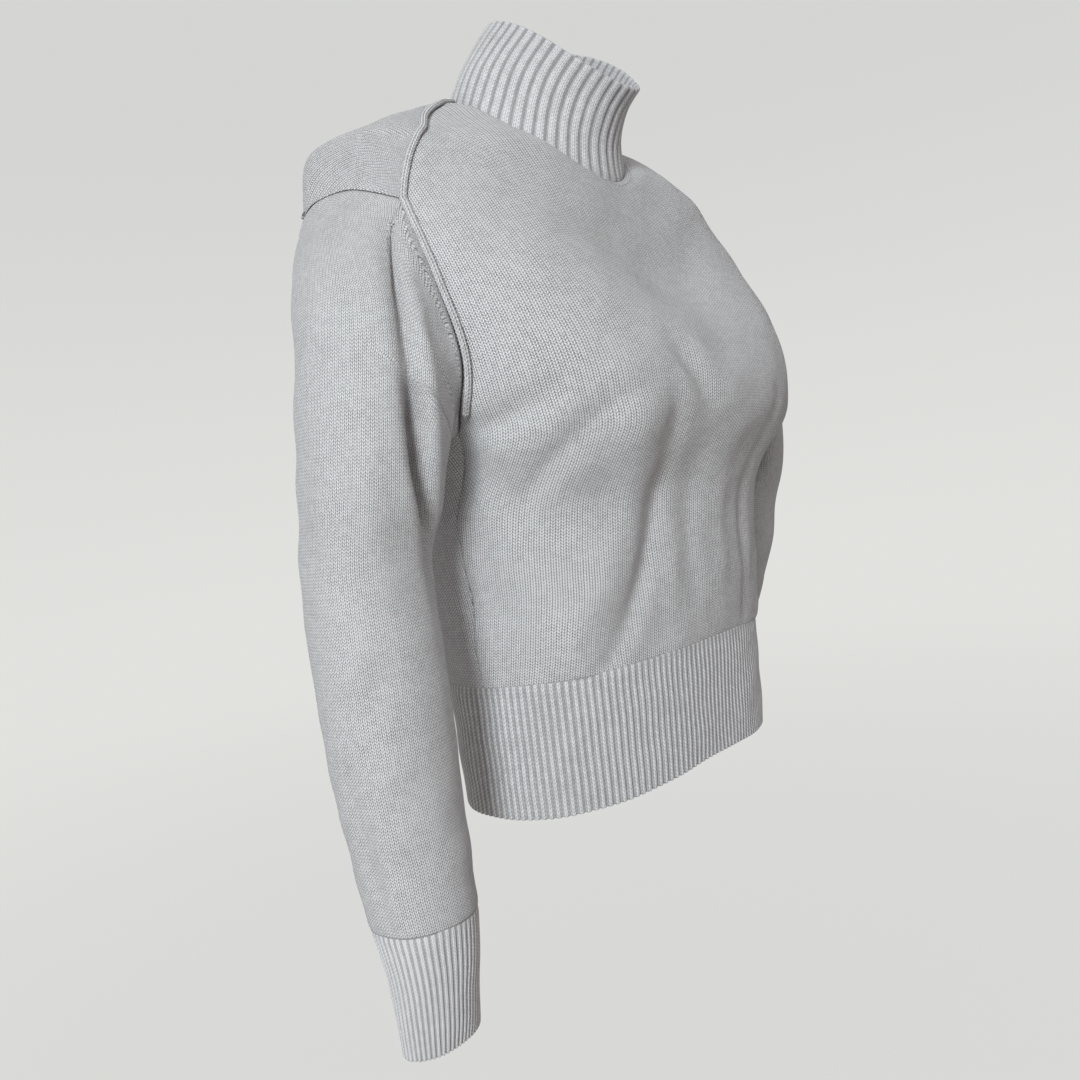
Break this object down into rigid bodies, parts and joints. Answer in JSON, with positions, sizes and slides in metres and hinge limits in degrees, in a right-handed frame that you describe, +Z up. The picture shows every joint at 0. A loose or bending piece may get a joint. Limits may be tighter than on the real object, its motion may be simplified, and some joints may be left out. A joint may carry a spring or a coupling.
{
  "type": "mock neck sweater",
  "caption": "Long-sleeved knitted sweater with a ribbed mock neck, raised shoulder seams, deep ribbed hem and ribbed cuffs, in the hollow form it has when worn.",
  "frame": {"origin": "middle of the neck base, level with the side neck points, where the wearer's neck and shoulders hold the sweater up", "axes": "+Z up to the neck, the front faces -Y, the wearer's right arm is at -X and the left arm at +X"},
  "size_m": [0.5808, 0.3312, 0.738],
  "materials": {
    "plain_knit": "soft matt wool knit",
    "rib_knit": "soft matt wool rib"
  },
  "bodies": {
    "root": {"front": "plain_knit", "back": "plain_knit", "sleeve_right": "plain_knit", "sleeve_left": "plain_knit", "cuff_right": "rib_knit", "cuff_left": "rib_knit", "neck_rib": "rib_knit", "hem_rib": "rib_knit", "seam_ridge_right": "plain_knit", "seam_ridge_left": "plain_knit"}
  },
  "joints": []
}
